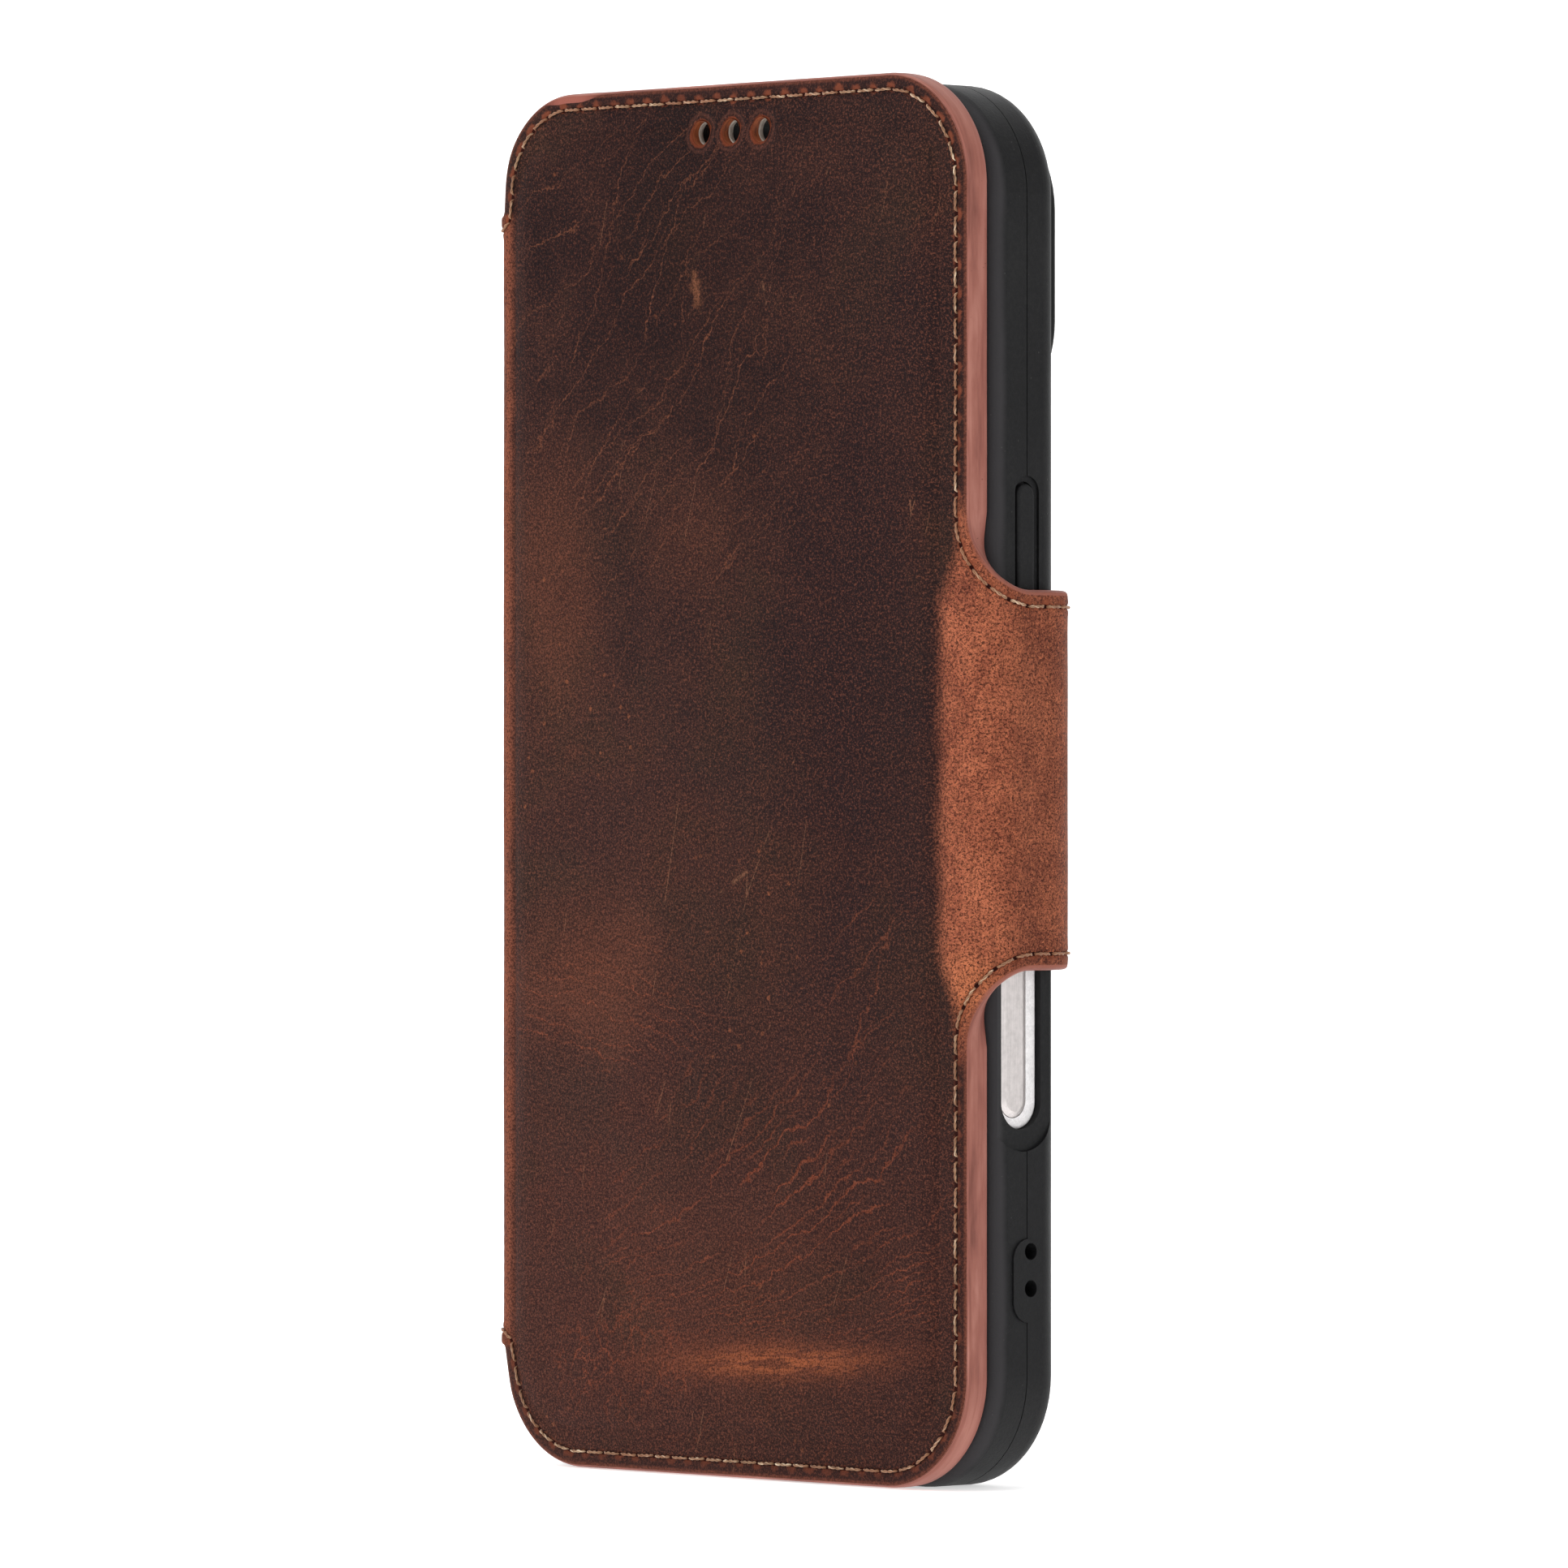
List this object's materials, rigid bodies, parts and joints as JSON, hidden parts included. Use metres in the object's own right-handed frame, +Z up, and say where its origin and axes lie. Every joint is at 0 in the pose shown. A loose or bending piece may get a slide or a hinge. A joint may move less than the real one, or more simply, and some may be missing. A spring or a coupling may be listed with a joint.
{
  "type": "phone wallet case",
  "caption": "Folio wallet case: a moulded soft tray grips a phone under a stitched leather cover with card pockets, a leather spine and a magnetic wrap-round clasp.",
  "frame": {"origin": "middle of the bottom face of the closed case's bounding box, which is the plane it stands on", "axes": "+Z up along the case's height, -Y out of the front cover, +X towards the clasp side"},
  "size_m": [0.0856, 0.0188, 0.1678],
  "materials": {
    "leather_dark": "waxed pull-up leather, dark brown, worn",
    "leather_tan": "waxed pull-up leather, rubbed to orange brown",
    "pocket_leather": "smooth thin leather",
    "lining": "microfibre suede",
    "padding": "thin foam",
    "board": "grey board, light as wood",
    "thread": "waxed thread",
    "tray_black": "matte moulded soft plastic",
    "key_silver": "bead blasted, bright chamfer",
    "magnet": "plated"
  },
  "bodies": {
    "tray": {"tray_shell": "tray_black", "camera_key_bezel": "key_silver", "back_leather": "leather_dark", "back_stitching": "thread", "back_magnets": "magnet"},
    "spine": {"spine_leather": "leather_dark", "spine_lining": "lining", "spine_stitching": "thread"},
    "cover": {"cover_leather": "leather_dark", "cover_padding": "padding", "cover_board": "board", "cover_lining": "lining", "cash_pocket": "pocket_leather", "card_pocket_rear": "pocket_leather", "card_pocket_middle": "pocket_leather", "card_pocket_front": "pocket_leather", "pocket_stitching": "thread", "cover_stitching": "thread"},
    "clasp_side": {"clasp_side_leather": "leather_tan", "clasp_side_lining": "lining", "clasp_side_stitching": "thread"},
    "clasp_end": {"clasp_end_leather": "leather_tan", "clasp_end_lining": "lining", "clasp_magnets": "magnet", "clasp_end_stitching": "thread"},
    "power_button": {"power_button": "tray_black"},
    "action_button": {"action_button": "tray_black"},
    "volume_up_button": {"volume_up_button": "tray_black"},
    "volume_down_button": {"volume_down_button": "tray_black"},
    "camera_key": {"camera_key": "key_silver"}
  },
  "joints": [
    {"name": "spine_fold", "type": "hinge", "parent": "tray", "child": "spine", "pos_m": [-0.04163, 0.00623, 0.084], "axis": [0, 0, -1], "range_deg": [0, 180]},
    {"name": "cover_fold", "type": "hinge", "parent": "spine", "child": "cover", "pos_m": [-0.04163, -0.00783, 0.084], "axis": [0, 0, -1], "range_deg": [0, 180]},
    {"name": "clasp_side_fold", "type": "hinge", "parent": "cover", "child": "clasp_side", "pos_m": [0.04163, -0.00783, 0.084], "axis": [0, 0, -1], "range_deg": [0, 90]},
    {"name": "clasp_end_fold", "type": "hinge", "parent": "clasp_side", "child": "clasp_end", "pos_m": [0.04072, 0.00732, 0.084], "axis": [0, 0, -1], "range_deg": [0, 90]},
    {"name": "power_press", "type": "slide", "parent": "tray", "child": "power_button", "axis": [-1, 0, 0], "range_m": [0, 0.0004], "stiffness_N_per_m": 300},
    {"name": "action_press", "type": "slide", "parent": "tray", "child": "action_button", "axis": [1, 0, 0], "range_m": [0, 0.0004], "stiffness_N_per_m": 300},
    {"name": "volume_up_press", "type": "slide", "parent": "tray", "child": "volume_up_button", "axis": [1, 0, 0], "range_m": [0, 0.0004], "stiffness_N_per_m": 300},
    {"name": "volume_down_press", "type": "slide", "parent": "tray", "child": "volume_down_button", "axis": [1, 0, 0], "range_m": [0, 0.0004], "stiffness_N_per_m": 300},
    {"name": "camera_key_press", "type": "slide", "parent": "tray", "child": "camera_key", "axis": [-1, 0, 0], "range_m": [0, 0.0002], "stiffness_N_per_m": 300}
  ]
}
